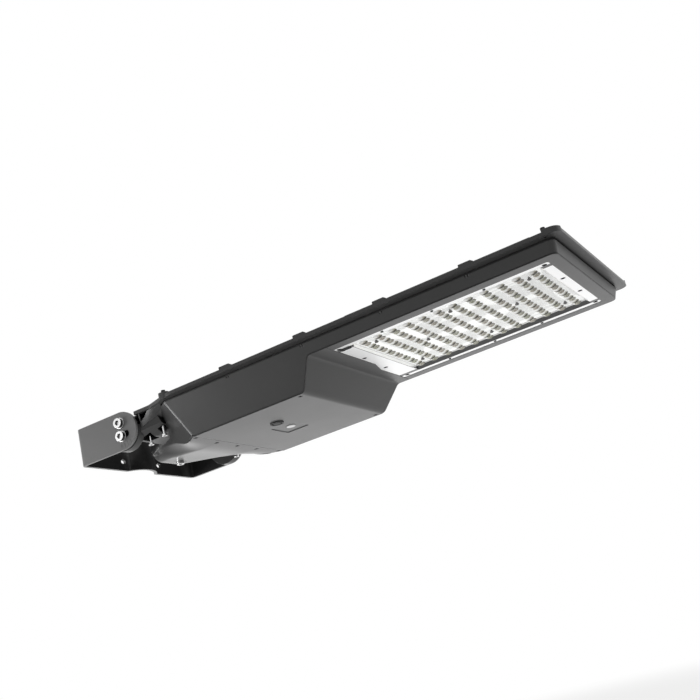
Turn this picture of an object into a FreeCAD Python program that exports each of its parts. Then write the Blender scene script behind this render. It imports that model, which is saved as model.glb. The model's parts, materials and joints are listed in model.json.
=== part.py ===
"""LED street light head on a tilting pole bracket.

Millimetres. The origin is the centre of the rear face of the bracket's web, where it sits on the
pole. X runs along the head to its tip, Y across it, Z up. The light leaves downwards.
"""
import FreeCAD, Part
import math
import os
from FreeCAD import Vector as V

os.makedirs("parts", exist_ok=True)

# Bracket: one U of steel plate, with a seat pressed into its web for a round pole.
BRACKET_WIDTH = 296.4
BRACKET_PLATE = 5.0
BRACKET_BEND = 4.0
EAR_RADIUS = 31.4
EAR_CENTRE_X = 94.4
SEAT_RADIUS = 46.0
SEAT_DEPTH = 16.8
SEAT_BLEND = 4.0
POLE_SLOT_Y = 47.2
POLE_SLOT_Z = 15.5
POLE_SLOT_LENGTH = 12.0
POLE_SLOT_WIDTH = 7.0

# Tilt: the head turns on two pivot bolts, and two lock bolts slide in curved slots below them.
PIVOT_RISE = 13.0
LOCK_RADIUS = 22.2
TILT_DOWN = 10.0
TILT_UP = 25.0
TILT_SLOT_PLAY = 0.5
TICK_COUNT = 5
TICK_STEP = 10.0
TICK_FIRST = -5.0
TICK_INNER = 34.0
TICK_LENGTH = 7.0
TICK_WIDTH = 0.8
TICK_DEPTH = 0.4

# Fasteners.
M10 = 10.0
M10_HEAD = 16.0
M10_HEAD_HEIGHT = 6.0
M10_WASHER = 18.0
M10_WASHER_THICK = 1.6
M10_NUT = 17.0
M10_NUT_HEIGHT = 8.0
RUNNING_FIT = 0.05
SMALL_SCREW = 4.0
SMALL_HEAD = 7.0
SMALL_HEAD_HEIGHT = 2.2
LID_SCREW = 6.0
LID_HEAD = 10.0
LID_HEAD_HEIGHT = 6.0

# Housing: side walls that lean out towards the top, a deep driver bay and a shallow LED bay.
WALL_TOP_Z = 14.5
LED_Z = -3.05
BAY_Z = -48.35
WALL_HALF_WIDTH = 147.7
WALL_LEAN = 0.425
TIP_X = 853.7
TIP_LEAN = 0.264
TIP_CORNER = 10.0
WALL = 3.6
REAR_WALL_X = 148.0
FACET_X = 188.0
FACET_Y = 152.0
FACET_Z = 15.0
FACET_NORMAL = V(-0.525, -0.690, -0.495)
FACET_ROUND = 7.0
RIM_WIDTH = 13.0
RIM_HEIGHT = 5.0

# The underside steps up from the driver bay to the LED bay.
STEP_LOW_X = 428.9
STEP_HIGH_X = 458.2
STEP_LOW_ROUND = 12.0
STEP_HIGH_ROUND = 8.0
SEAM = 0.6
LAP = 1.2

# Top cover with its overhanging flange, and the tabs and lugs on the flange.
FLANGE_HALF_WIDTH = 169.7
FLANGE_LOW_Z = 17.2
FLANGE_TOP_Z = 22.7
FLANGE_TIP_X = 872.3
FLANGE_CORNER = 12.0
NAPE_CORNER = 3.0
POCKET_INSET = 28.7
COVER_SKIN = 3.0
SHOULDER_X = 213.0
SHOULDER_END_X = 157.7
NAPE_HALF_WIDTH = 149.0
NAPE_X = 124.0
TAB_HEIGHT = 4.0
TAB_DEPTH = 9.0
TAB_LENGTH = 22.8
TAB_FIRST_X = 315.5
TAB_PITCH = 136.8
TAB_COUNT = 4
TIP_TAB_LENGTH = 22.8
TIP_TAB_DEPTH = 12.0
TIP_TAB_END_HEIGHT = 2.5
FIN_COUNT = 17
FIN_PITCH = 15.0
FIN_THICK = 2.6
FIN_HEIGHT = 20.0
FIN_END_SLOPE = 18.0
DECK_RISE = 4.0
DECK_INSET = 34.0

# Neck: the hull-shaped casting between the bracket and the housing.
NECK_FRONT_X = 218.7
NECK_REAR_X = 64.0
NECK_TOP_Z = 17.2
NECK_WALL = 5.0
TONGUE = 5.0
TAIL_X = 189.0
TAIL_SLOPE = 0.38
TAIL_ROUND = 60.0
KEEL_ROUND = 22.0
LUG_DISC_RADIUS = 33.0
LUG_DISC_THICK = 14.0
EAR_GAP = 0.3

# Light unit.
WINDOW_SIDE = 20.4
WINDOW_TIP = 18.7
WINDOW_CORNER = 4.0
PAN_GAP = 0.3
PAN_STEP = 0.4
PAN_SIDE_MARGIN = 10.3
PAN_TIP_MARGIN = 13.8
LIP_X = 491.0
LIP_STEP = 9.3
LIP_CURVE_START_Y = 5.0
LIP_CURVE_END_Y = 42.0
FRAME_THICK = 5.3
GASKET = 1.0
TRAY_THICK = 4.0
TRAY_POCKET = 2.0
TRAY_MARGIN = 8.0
BOARD_THICK = 1.6
LENS_BASE = 2.0
LENS_ROWS = 12
LENS_COLUMNS = 8
LENS_PITCH_X = 25.0
LENS_PITCH_Y = 26.67
LENS_CENTRE_X = 666.2
LENS_LOBE = 7.3
LENS_LOBE_OFFSET = 5.9
LENS_HEIGHT = 4.1
CHIP = 3.6
CHIP_HEIGHT = 0.8
CHIP_CAVITY = 4.2
CHIP_CAVITY_DEPTH = 1.3
POCKET_MARGIN = 0.3
SPREADER_PLATE = 3.0
SPREADER_RIBS = 7
SPREADER_RIB = 5.0

# Driver cover.
COVER_PLATE = 3.0
COVER_SCREW_X = 415.8
COVER_SCREW_Y = 120.0
VENT_X = 317.7
VENT_Y = -38.7
VENT_RADIUS = 11.0
DISC_X = 315.2
DISC_Y = 6.9
DISC_RADIUS = 7.5
PANEL_X = (291.0, 333.0)
PANEL_Y = (-17.5, 35.0)
PANEL_DEPTH = 0.8

# Neck details.
NECK_SEAM = 0.7
FLOOR = 3.0
FLOOR_END_X = 222.0
ARM_INNER_Y = 50.0
ARM_SHIELD = (
    (108.0, ((93, -20), (17, -19), (2, -12), (2, 17.2))),
    (124.0, ((93, -21), (22, -18.5), (3.5, -10), (1, 17.2))),
    (138.0, ((93, -22), (29, -18.5), (7, -7.5), (-0.5, 17.2))),
    (161.0, ((93, -21), (40, -15), (15, -4), (-0.5, 17.2))),
)
ARM_ROOT = (
    (120.0, ((93, -20), (29, -14), (3, -8), (1, 17.2))),
    (186.0, ((93, -4), (31, 12), (3, 16), (-6, 17.2))),
)
LUG_RIB_DROP = 26.0
NAPE_RECESS = ((112, 14), (112, -4), (127, 2), (141, 10), (152, 20), (126, 20), (126, 14))
NAPE_RECESS_DEPTH = 19.0
NAPE_RIB_X = 129.0
NAPE_RIB = 2.5
SIDE_POCKETS = ((113.0, 134.0, 104.0, 127.0, -6.0), (147.0, 175.0, 110.0, 123.0, -6.0))
SIDE_POCKET_LOW = -30.0
SIDE_SCREW_Y = 118.0
SIDE_SCREWS = ((126.0, -28.0, 33.0), (155.0, -22.0, 20.0))
SIDE_SCREW = 4.0
SIDE_SCREW_HEAD = 9.0
SIDE_SCREW_HEAD_HEIGHT = 3.0
TONGUE_SCREWS = ((214.4, -119.0), (214.4, 119.0), (209.4, -57.0), (209.4, 0.0), (209.4, 57.0))
NOSE_SCREW = 8.0
NOSE_SCREW_X = 84.0
NOSE_SCREW_Y = 6.0
CABLE_HOLE = 22.0
CABLE_Z = -10.0

# Inside the housing.
BOSS = 13.0
BOSS_HEIGHT = 11.0
BOSS_END = 4.0
LEDGE = 4.0
LEDGE_Z = BAY_Z + 5.0
LEDGE_WIDTH = 12.0
BAY_GASKET_END_X = 420.0
LID_SCREW_X = (236.0, 392.0, 528.0, 665.0, 802.0)
LID_SCREW_Y = 145.5
GASKET_INSET = 1.5
GASKET_WIDTH = 4.0
MARK_WIDTH = 1.6
MARK_PITCH = 4.0
MARK_DEPTH = 1.6
MARK_HEIGHT = 7.0
LIP_ROUND = 22.0
LIP_GAP = 0.3
SILL_X = 468.0
SILL_WIDTH = 6.0
SILL_HALF = 130.0
SPREADER_MARGIN = 4.0
LENS_SCREW = 3.0
LENS_SCREWS = ((1.5, 1.5), (1.5, 7.5), (3.5, 4.5), (6.5, 1.5), (6.5, 7.5), (9.5, 4.5), (11.5, 1.5),
               (11.5, 7.5))
TRAY_SCREW_INSET = 7.8
TRAY_SCREW_INNER_Y = 40.0
TRAY_SCREW_REAR_X = (496.5, 491.5)
SHOULDER_ROUND = 40.0
NAPE_ROUND = 20.0
FIN_START_X = 500.0
FIN_STOP_INSET = 34.3
DECK_START_X = 200.0
DECK_STOP_X = 470.0
CORNER_SCREW_REAR_X = 200.0
CORNER_SCREW_TIP = 22.8
CORNER_SCREW_SIDE = 8.3
LUG_LENGTH = 18.0
LUG_RADIUS = 6.5
LUG_HEIGHT = 4.5
STUB_RADIUS = 3.4
CORNER_HEAD_HEIGHT = 4.0

HEAD_PLAY = 0.3
COUNTERBORE = 1.8
FLUSH_HEAD_HEIGHT = 1.6
SMALL_SCREW_LENGTH = 7.0
LID_SCREW_LENGTH = 15.0
CORNER_SCREW_LENGTH = 10.0
NOSE_SCREW_Z = -36.0
NOSE_SCREW_HEAD = 13.0
NOSE_SCREW_LENGTH = 14.0
NOSE_SCREW_HEAD_HEIGHT = 5.0
NOSE_PAD = 16.0
VENT_PROUD = 1.6
VENT_CAP = 6.5
VENT_GROOVE = 2.0
STUD_X = (571.6, 654.2, 736.7)
STUD_SIDE = 6.5
STUD_RADIUS = 2.2
STUD_PROUD = 0.8
GROMMET_X = (495.0, 514.0)
GROMMET_SIDE = 14.8
GROMMET_RADIUS = 3.8
GROMMET_PROUD = 1.2
LENS_SCREW_HEAD = 6.0
LENS_SCREW_HEAD_HEIGHT = 1.8
GEAR_X = (226.0, 422.0)
GEAR_PLATE = 2.0
DRIVER_X = 245.0
DRIVER_Y = -12.0
DRIVER_LENGTH = 150.0
DRIVER_WIDTH = 92.0
DRIVER_HEIGHT = 37.0
DRIVER_FOOT = 8.0
SURGE_X = 262.0
SURGE_Y = -82.0
TERMINAL_X = 336.0
SURGE_BLOCK = (52.0, 30.0, 26.0, 4.0)
TERMINAL_BLOCK = (48.0, 24.0, 20.0, 1.0)
GLAND_REACH = 10.0
GLAND_BORE = 12.0

FAR = 2000.0


def box(x0, x1, y0, y1, z0, z1):
    return Part.makeBox(x1 - x0, y1 - y0, z1 - z0, V(x0, y0, z0))


def rod(radius, start, direction, length):
    return Part.makeCylinder(radius, length, start, direction)


def mirrored(shape):
    return shape.mirror(V(0, 0, 0), V(0, 1, 0))


def both_sides(shape):
    return [shape, mirrored(shape)]


def joined(shapes):
    first, *rest = shapes
    return first.fuse(rest).removeSplitter() if rest else first


def on_xy(u, v, w):
    return V(u, v, w)


def on_xz(u, v, w):
    return V(u, w, v)


def on_yz(u, v, w):
    return V(w, u, v)


def outline(corners, plane, level):
    """A closed wire through (u, v, radius) corners, with a tangent arc at each rounded one."""
    count = len(corners)
    ends = []
    for i, (u, v, radius) in enumerate(corners):
        before = corners[i - 1]
        after = corners[(i + 1) % count]
        to_before = V(before[0] - u, before[1] - v, 0).normalize()
        to_after = V(after[0] - u, after[1] - v, 0).normalize()
        half = to_before.getAngle(to_after) / 2
        corner = V(u, v, 0)
        if radius:
            reach = radius / math.tan(half)
            bisector = (to_before + to_after).normalize()
            middle = corner + bisector * (radius / math.sin(half) - radius)
            ends.append((corner + to_before * reach, middle, corner + to_after * reach))
        else:
            ends.append((corner, None, corner))
    edges = []
    for i, (start, middle, stop) in enumerate(ends):
        place = [None if p is None else plane(p.x, p.y, level) for p in (start, middle, stop)]
        if middle is not None:
            edges.append(Part.Arc(place[0], place[1], place[2]).toShape())
        following = ends[(i + 1) % count][0]
        onward = plane(following.x, following.y, level)
        if (onward - place[2]).Length > 1e-6:
            edges.append(Part.LineSegment(place[2], onward).toShape())
    return Part.Wire(edges)


def prism(corners, plane, low, high):
    face = Part.Face(outline(corners, plane, low))
    return face.extrude(plane(0, 0, high) - plane(0, 0, low))


def edges_near(shape, points):
    """The edge of the shape whose middle lies nearest to each point."""
    found = []
    for point in points:
        found.append(min(shape.Edges, key=lambda edge: (edge.CenterOfMass - point).Length))
    return found


def socket_bolt(head_seat, direction, shank, diameter, head, head_height):
    """A socket cap screw: the head stands on head_seat against the direction of the shank."""
    solid = rod(diameter / 2, head_seat, direction, shank)
    solid = solid.fuse(rod(head / 2, head_seat - direction * head_height, direction, head_height))
    solid = solid.removeSplitter()
    socket = hexagon(head / 2, head_height * 0.55)
    socket.Placement = FreeCAD.Placement(head_seat - direction * head_height,
                                         FreeCAD.Rotation(V(0, 0, 1), direction))
    return solid.cut(socket)


def hexagon(across_flats, depth):
    """A hexagonal prism about Z that starts at the origin."""
    radius = across_flats / math.sqrt(3)
    corners = []
    for i in range(6):
        angle = math.radians(60 * i)
        corners.append((radius * math.cos(angle), radius * math.sin(angle), 0))
    return prism(corners, on_xy, 0, depth)


def save(name, shape):
    solids = shape if isinstance(shape, list) else [shape]
    flat = [solid for item in solids for solid in item.Solids]
    result = flat[0] if len(flat) == 1 else Part.makeCompound(flat)
    bad = [solid for solid in flat if not solid.isValid() or solid.Volume <= 0]
    size = result.BoundBox
    print(f"{name:22s} solids {len(flat):3d} volume {result.Volume / 1000:9.2f} cm3 "
          f"x {size.XMin:.1f}..{size.XMax:.1f} y {size.YMin:.1f}..{size.YMax:.1f} "
          f"z {size.ZMin:.1f}..{size.ZMax:.1f}{' INVALID' if bad else ''}")
    result.exportStep(f"parts/{name}.step")


# Places that follow from the sizes above.
bracket_half = BRACKET_WIDTH / 2
ear_inner = bracket_half - BRACKET_PLATE
pivot = V(EAR_CENTRE_X, 0, PIVOT_RISE)
lock = V(EAR_CENTRE_X, 0, PIVOT_RISE - LOCK_RADIUS)
lug_face = ear_inner - EAR_GAP
frame_top_z = LED_Z + FRAME_THICK
tray_z = frame_top_z + GASKET
tray_top_z = tray_z + TRAY_THICK
board_top_z = tray_z + TRAY_POCKET
board_z = board_top_z - BOARD_THICK
lens_z = board_z - LENS_BASE
cover_under_z = FLANGE_TOP_Z - COVER_SKIN
window_half = WALL_HALF_WIDTH - WINDOW_SIDE
window_tip_x = TIP_X - WINDOW_TIP
pan_z = LED_Z + PAN_STEP
lug_top_z = FLANGE_TOP_Z + LUG_HEIGHT
corner_screw_y = FLANGE_HALF_WIDTH - CORNER_SCREW_SIDE
corner_screw_x = (CORNER_SCREW_REAR_X, FLANGE_TIP_X - CORNER_SCREW_TIP)
lens_half_x = LENS_ROWS * LENS_PITCH_X / 2
lens_half_y = LENS_COLUMNS * LENS_PITCH_Y / 2
step_angle = math.atan2(LED_Z - BAY_Z, STEP_HIGH_X - STEP_LOW_X)


def bracket():
    def path(offset):
        """The web and ears as one line, offset into the U from the outer face."""
        half = bracket_half - offset
        corner = BRACKET_BEND + BRACKET_PLATE - offset
        centre_x = SEAT_DEPTH - SEAT_RADIUS
        seat = SEAT_RADIUS + offset
        blend_outer = SEAT_BLEND + BRACKET_PLATE
        blend = blend_outer - offset
        blend_y = math.sqrt((SEAT_RADIUS + blend_outer) ** 2 - (blend_outer - centre_x) ** 2)
        lean = math.atan2(blend_y, blend_outer - centre_x)
        touch = V(centre_x + seat * math.cos(lean), seat * math.sin(lean), 0)
        mid = V(blend_outer - blend * math.cos(lean / 2), blend_y - blend * math.sin(lean / 2), 0)
        slant = corner * (1 - math.sqrt(0.5))
        end_x = EAR_CENTRE_X + EAR_RADIUS
        points = [V(end_x, half, 0), V(offset + corner, half, 0),
                  V(offset + slant, half - slant, 0), V(offset, half - corner, 0),
                  V(offset, blend_y, 0), mid, touch]
        low = [V(p.x, -p.y, 0) for p in points]
        return points, low, V(centre_x + seat, 0, 0)

    def edges(points, low, nose):
        return [Part.LineSegment(points[0], points[1]).toShape(),
                Part.Arc(points[1], points[2], points[3]).toShape(),
                Part.LineSegment(points[3], points[4]).toShape(),
                Part.Arc(points[4], points[5], points[6]).toShape(),
                Part.Arc(points[6], nose, low[6]).toShape(),
                Part.Arc(low[6], low[5], low[4]).toShape(),
                Part.LineSegment(low[4], low[3]).toShape(),
                Part.Arc(low[3], low[2], low[1]).toShape(),
                Part.LineSegment(low[1], low[0]).toShape()]

    outer = path(0)
    inner = path(BRACKET_PLATE)
    ring = edges(*outer) + [Part.LineSegment(outer[1][0], inner[1][0]).toShape()]
    ring += edges(*inner) + [Part.LineSegment(inner[0][0], outer[0][0]).toShape()]
    face = Part.Face(Part.Wire(Part.__sortEdges__(ring)))
    face.translate(V(0, 0, -EAR_RADIUS))
    plate = face.extrude(V(0, 0, 2 * EAR_RADIUS))
    side = box(-1, EAR_CENTRE_X, -FAR, FAR, -EAR_RADIUS, EAR_RADIUS)
    side = side.fuse(rod(EAR_RADIUS, V(EAR_CENTRE_X, -FAR, 0), V(0, 1, 0), 2 * FAR))
    plate = plate.common(side)

    slot_run = (POLE_SLOT_LENGTH - POLE_SLOT_WIDTH) / 2
    cuts = []
    for y in (-POLE_SLOT_Y, POLE_SLOT_Y):
        for z in (-POLE_SLOT_Z, POLE_SLOT_Z):
            for end in (-slot_run, slot_run):
                cuts.append(rod(POLE_SLOT_WIDTH / 2, V(-1, y + end, z), V(1, 0, 0), 3 * BRACKET_PLATE))
            cuts.append(box(-1, 3 * BRACKET_PLATE, y - slot_run, y + slot_run,
                            z - POLE_SLOT_WIDTH / 2, z + POLE_SLOT_WIDTH / 2))
    cuts.append(rod(M10 / 2 + RUNNING_FIT, V(pivot.x, -FAR, pivot.z), V(0, 1, 0), 2 * FAR))
    cuts.append(tilt_slot())
    for i in range(TICK_COUNT):
        cuts += both_sides(tick(i))
    return plate.cut(cuts)


def around_pivot(radius, degrees, y):
    """A point on a circle about the pivot, measured forwards from straight below it."""
    angle = math.radians(degrees)
    return V(pivot.x + radius * math.sin(angle), y, pivot.z - radius * math.cos(angle))


def tilt_slot():
    """The curved slot of a lock bolt, through both ears."""
    half = M10 / 2 + TILT_SLOT_PLAY
    first = -TILT_DOWN
    last = TILT_UP
    middle = (first + last) / 2
    outer = LOCK_RADIUS + half
    inner = LOCK_RADIUS - half
    edges = [Part.Arc(around_pivot(outer, first, 0), around_pivot(outer, middle, 0),
                      around_pivot(outer, last, 0)).toShape(),
             Part.LineSegment(around_pivot(outer, last, 0), around_pivot(inner, last, 0)).toShape(),
             Part.Arc(around_pivot(inner, last, 0), around_pivot(inner, middle, 0),
                      around_pivot(inner, first, 0)).toShape(),
             Part.LineSegment(around_pivot(inner, first, 0), around_pivot(outer, first, 0)).toShape()]
    face = Part.Face(Part.Wire(edges))
    face.translate(V(0, -FAR, 0))
    slot = face.extrude(V(0, 2 * FAR, 0))
    ends = [rod(half, around_pivot(LOCK_RADIUS, end, -FAR), V(0, 1, 0), 2 * FAR) for end in (first, last)]
    return slot.fuse(ends)


def tick(i):
    """One engraved line of the tilt scale on the near ear."""
    line = box(-TICK_WIDTH / 2, TICK_WIDTH / 2, -bracket_half - 1, -bracket_half + TICK_DEPTH,
               -TICK_INNER - TICK_LENGTH, -TICK_INNER)
    line.rotate(V(0, 0, 0), V(0, 1, 0), -(TICK_FIRST + i * TICK_STEP))
    line.translate(pivot)
    return line


def hull(inset, low, high, rear):
    """The leaning side walls and tip wall as a solid between two heights."""
    def ring(z):
        half = WALL_HALF_WIDTH + WALL_LEAN * (z - LED_Z) - inset
        tip = TIP_X + TIP_LEAN * (z - LED_Z) - inset
        corner = max(TIP_CORNER - inset, 1.0)
        corners = [(rear, -half, 0), (tip, -half, corner), (tip, half, corner), (rear, half, 0)]
        return outline(corners, on_xy, z)
    return Part.makeLoft([ring(low), ring(high)], True, True)


def under(depth):
    """All that lies below the stepped underside, raised by a depth into the housing."""
    shift = depth * math.tan(step_angle / 2)
    corners = [(-FAR, BAY_Z + depth, 0),
               (STEP_LOW_X - shift, BAY_Z + depth, max(STEP_LOW_ROUND - depth, 0.5)),
               (STEP_HIGH_X - shift, LED_Z + depth, STEP_HIGH_ROUND + depth),
               (FAR, LED_Z + depth, 0), (FAR, -FAR, 0), (-FAR, -FAR, 0)]
    return prism(corners, on_xz, -FAR / 2, FAR / 2)


def facet_cut(inset):
    """The two blocks that chamfer the rear corners of the housing."""
    normal = V(FACET_NORMAL).normalize()
    block = box(-FAR / 2, FAR / 2, -FAR / 2, FAR / 2, 0, FAR / 2)
    block.Placement = FreeCAD.Placement(V(FACET_X, -FACET_Y, FACET_Z) - normal * inset,
                                        FreeCAD.Rotation(V(0, 0, 1), normal))
    return both_sides(block)


def outer_body():
    body = hull(0, BAY_Z, WALL_TOP_Z, REAR_WALL_X).cut([under(0), below_tail(0)] + facet_cut(0))
    middle_z = (BAY_Z + WALL_TOP_Z) / 2
    half = WALL_HALF_WIDTH + WALL_LEAN * (middle_z - LED_Z)
    slope = FACET_NORMAL.y / FACET_NORMAL.x
    rise = FACET_NORMAL.z / FACET_NORMAL.x
    x = FACET_X + slope * (FACET_Y - half) * -1 - rise * (middle_z - FACET_Z)
    return body.makeFillet(FACET_ROUND, edges_near(body, [V(x, -half, middle_z), V(x, half, middle_z)]))


def inner_body(inset, depth):
    low = BAY_Z + depth
    body = hull(inset, low, WALL_TOP_Z + 5, REAR_WALL_X + inset)
    return body.cut([under(depth)] + facet_cut(inset))


# Sections of the neck's hull: X, half-width and Z of the keel, half-width, Z and radius of the
# bilge, and half-width at the top.
NECK_STATIONS = (
    (248.0, 66.0, -48.35, 139.0, -48.20, 2.0, 139.0),
    (225.0, 62.0, -48.35, 132.0, -48.20, 2.0, 132.0),
    (207.0, 58.0, -48.35, 121.5, -48.10, 2.0, 127.0),
    (190.0, 54.0, -48.25, 108.0, -46.90, 4.0, 124.0),
    (168.0, 48.0, -46.60, 95.0, -40.50, 8.0, 118.0),
    (150.0, 45.0, -44.00, 86.0, -33.00, 11.0, 108.0),
    (128.0, 42.0, -41.00, 74.0, -26.00, 12.0, 92.0),
    (105.0, 41.0, -38.20, 62.0, -20.00, 12.0, 74.0),
    (84.0, 40.0, -35.80, 52.0, -18.00, 12.0, 58.0),
    (64.0, 34.0, -33.40, 42.0, -16.00, 12.0, 46.0),
)


def neck_core(inset):
    """The hull of the neck: sections across it, each with a rounded keel and bilge."""
    rings = []
    for x, keel, keel_z, bilge, bilge_z, bilge_round, top in NECK_STATIONS:
        near = [(-(top - inset), NECK_TOP_Z, 0),
                (-(bilge - inset), bilge_z + inset, bilge_round),
                (-(keel - inset), keel_z + inset, KEEL_ROUND)]
        corners = near + [(-u, v, radius) for u, v, radius in reversed(near)]
        rings.append(outline(corners, on_yz, x))
    behind = box(0, NECK_FRONT_X, -FAR, FAR, -FAR, FAR)
    return Part.makeLoft(rings, True, False).common(behind)


def below_tail(depth):
    """All that lies below the rising tail of the underside, raised by a depth."""
    rear_x = NECK_REAR_X - 20
    corners = [(FAR, BAY_Z + depth, 0), (TAIL_X, BAY_Z + depth, TAIL_ROUND),
               (rear_x, BAY_Z + depth + TAIL_SLOPE * (TAIL_X - rear_x), 0),
               (rear_x, -FAR, 0), (FAR, -FAR, 0)]
    return prism(corners, on_xz, -FAR / 2, FAR / 2)


def tongue(grow):
    """The part of the neck's hull that runs forward below the housing floor."""
    front = box(REAR_WALL_X, FAR, -FAR, FAR, -FAR, FAR)
    return neck_core(-grow).common(front).common(below_tail(TONGUE + grow))


def arm():
    """The near arm of the neck: a shield beside the lug, and a root that rises along the facet."""
    lofts = []
    for sections in (ARM_SHIELD, ARM_ROOT):
        rings = []
        for x, places in sections:
            corners = [(inward - lug_face, z, 0) for inward, z in places]
            rings.append(outline(corners + [(-ARM_INNER_Y, NECK_TOP_Z, 0)], on_yz, x))
        lofts.append(Part.makeLoft(rings, True, True))
    return joined(lofts)


def neck():
    ahead = box(REAR_WALL_X, FAR, -FAR, FAR, -FAR, FAR)
    core = neck_core(0).cut(ahead.cut(below_tail(TONGUE)))
    hollow = neck_core(NECK_WALL).common(box(NECK_REAR_X + NECK_WALL, REAR_WALL_X + 1, -FAR, FAR,
                                             -FAR, NECK_TOP_Z - NECK_WALL))
    lug = rod(LUG_DISC_RADIUS, V(EAR_CENTRE_X, -lug_face, 0), V(0, 1, 0), LUG_DISC_THICK)
    rib = box(EAR_CENTRE_X, ARM_SHIELD[0][0] + 2, -lug_face, -lug_face + LUG_DISC_THICK,
              -LUG_RIB_DROP, NECK_TOP_Z)
    lug = lug.fuse(rib).common(box(0, FAR, -FAR, FAR, -FAR, NECK_TOP_Z))
    near = joined([arm(), lug]).cut(neck_pockets())
    housing_space = hull(0, BAY_Z, FLANGE_LOW_Z, REAR_WALL_X).cut(facet_cut(0))
    near = near.cut([housing_space, neck_core(0)])
    solid = core.fuse(both_sides(near)).removeSplitter()
    cuts = [hollow]
    for place in (pivot, lock):
        cuts.append(rod(M10 / 2 + RUNNING_FIT, V(place.x, -FAR, place.z), V(0, 1, 0), 2 * FAR))
    for x, y in TONGUE_SCREWS:
        cuts += flush_hole(x, y)
    cuts.append(rod(NOSE_SCREW / 2, V(NOSE_SCREW_X, NOSE_SCREW_Y, -FAR), V(0, 0, 1), FAR))
    cuts.append(box(NOSE_SCREW_X - NOSE_PAD / 2, NOSE_SCREW_X + NOSE_PAD / 2, NOSE_SCREW_Y - NOSE_PAD / 2,
                    NOSE_SCREW_Y + NOSE_PAD / 2, -FAR, NOSE_SCREW_Z))
    for x, z, length in SIDE_SCREWS:
        cuts += both_sides(rod(SIDE_SCREW / 2, V(x, -SIDE_SCREW_Y, z), V(0, 0, 1), length))
    return solid.cut(cuts)


def neck_pockets():
    """The ribbed recess beside the nape and the two hollows under the near arm."""
    recess = prism([(x, z, 0) for x, z in NAPE_RECESS], on_xz, -FAR, NAPE_RECESS_DEPTH - lug_face)
    pockets = [recess.cut(box(NAPE_RIB_X, NAPE_RIB_X + NAPE_RIB, -FAR, 0, -FAR, FAR))]
    for x0, x1, inner_y, outer_y, ceiling in SIDE_POCKETS:
        corners = [(x0, SIDE_POCKET_LOW, 2), (x1, SIDE_POCKET_LOW, 2), (x1, ceiling, 2), (x0, ceiling, 2)]
        pockets.append(prism(corners, on_xz, -outer_y, -inner_y))
    return pockets


def neck_side_screws():
    screws = []
    for x, z, length in SIDE_SCREWS:
        screws += both_sides(socket_bolt(V(x, -SIDE_SCREW_Y, z), V(0, 0, 1), length, SIDE_SCREW,
                                         SIDE_SCREW_HEAD, SIDE_SCREW_HEAD_HEIGHT))
    return screws


def housing():
    outer = outer_body()
    low = inner_body(WALL, LAP).common(box(0, FAR, -FAR, FAR, -FAR, WALL_TOP_Z - RIM_HEIGHT))
    high = inner_body(RIM_WIDTH, LAP).common(box(0, FAR, -FAR, FAR, WALL_TOP_Z - RIM_HEIGHT - 1, FAR))
    floor = box(0, FLOOR_END_X, -FAR, FAR, -FAR, FAR).common(below_tail(TONGUE + FLOOR))
    shell = outer.cut([low.cut(floor), high])
    shell = shell.cut(under(LAP + SEAM).common(box(NECK_FRONT_X, FAR, -FAR, FAR, -FAR, FAR)))
    cuts = [tongue(NECK_SEAM)]
    cuts.append(rod(CABLE_HOLE / 2, V(0, 0, CABLE_Z), V(1, 0, 0), REAR_WALL_X + WALL + 1))
    bosses = []
    for place in lid_screw_places():
        boss = rod(BOSS / 2, V(place.x, place.y, WALL_TOP_Z - BOSS_HEIGHT), V(0, 0, 1), BOSS_HEIGHT)
        bosses.append(boss.common(hull(0, BAY_Z, WALL_TOP_Z, REAR_WALL_X)))
        depth = BOSS_HEIGHT + FLANGE_TOP_Z - WALL_TOP_Z - BOSS_END
        cuts.append(rod(LID_SCREW / 2, place, V(0, 0, -1), depth))
    ledge = ledge_ring(LEDGE_Z, LEDGE_Z + LEDGE, LEDGE_WIDTH)
    shell = shell.fuse(bosses + [ledge])
    for x, y in TONGUE_SCREWS:
        cuts.append(rod(SMALL_SCREW / 2, V(x, y, -FAR), V(0, 0, 1), FAR))
    for y in (-COVER_SCREW_Y, COVER_SCREW_Y):
        cuts.append(rod(SMALL_SCREW / 2, V(COVER_SCREW_X, y, BAY_Z), V(0, 0, 1), BOSS * 2))
    return shell.cut(cuts + latch_marks())


def latch_marks():
    """Two small upright slots in the wall below the rear end of each tab."""
    cuts = []
    for x in tab_starts():
        for step in (0, MARK_PITCH):
            for side in (-1, 1):
                wall_y = side * (WALL_HALF_WIDTH + WALL_LEAN * (WALL_TOP_Z - LED_Z))
                low = wall_y - side * MARK_DEPTH
                cuts.append(box(x + step, x + step + MARK_WIDTH, min(low, side * FAR),
                                max(low, side * FAR), WALL_TOP_Z - MARK_HEIGHT, WALL_TOP_Z))
    return cuts


def tab_starts():
    return [TAB_FIRST_X + i * TAB_PITCH for i in range(TAB_COUNT)]


def ledge_ring(low, high, width):
    """A shelf round the inside of the driver bay, for the driver cover's seal."""
    outer = hull(WALL - 0.5, BAY_Z, WALL_TOP_Z, REAR_WALL_X + WALL)
    inner = hull(WALL + width, BAY_Z - 1, WALL_TOP_Z + 1, FLOOR_END_X + width - WALL)
    span = box(FLOOR_END_X - WALL, BAY_GASKET_END_X, -FAR, FAR, low, high)
    return outer.cut(inner).common(span).fuse(
        box(BAY_GASKET_END_X - width, BAY_GASKET_END_X, -COVER_SCREW_Y, COVER_SCREW_Y, low, high))


def behind_lip(gap):
    """All that lies behind the S-shaped front edge of the driver cover."""
    corners = [(-FAR, -FAR, 0), (LIP_X + gap, -FAR, 0), (LIP_X + gap, LIP_CURVE_START_Y, LIP_ROUND),
               (LIP_X - LIP_STEP + gap, LIP_CURVE_END_Y, LIP_ROUND),
               (LIP_X - LIP_STEP + gap, FAR, 0), (-FAR, FAR, 0)]
    return prism(corners, on_xy, -FAR, FAR)


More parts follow.
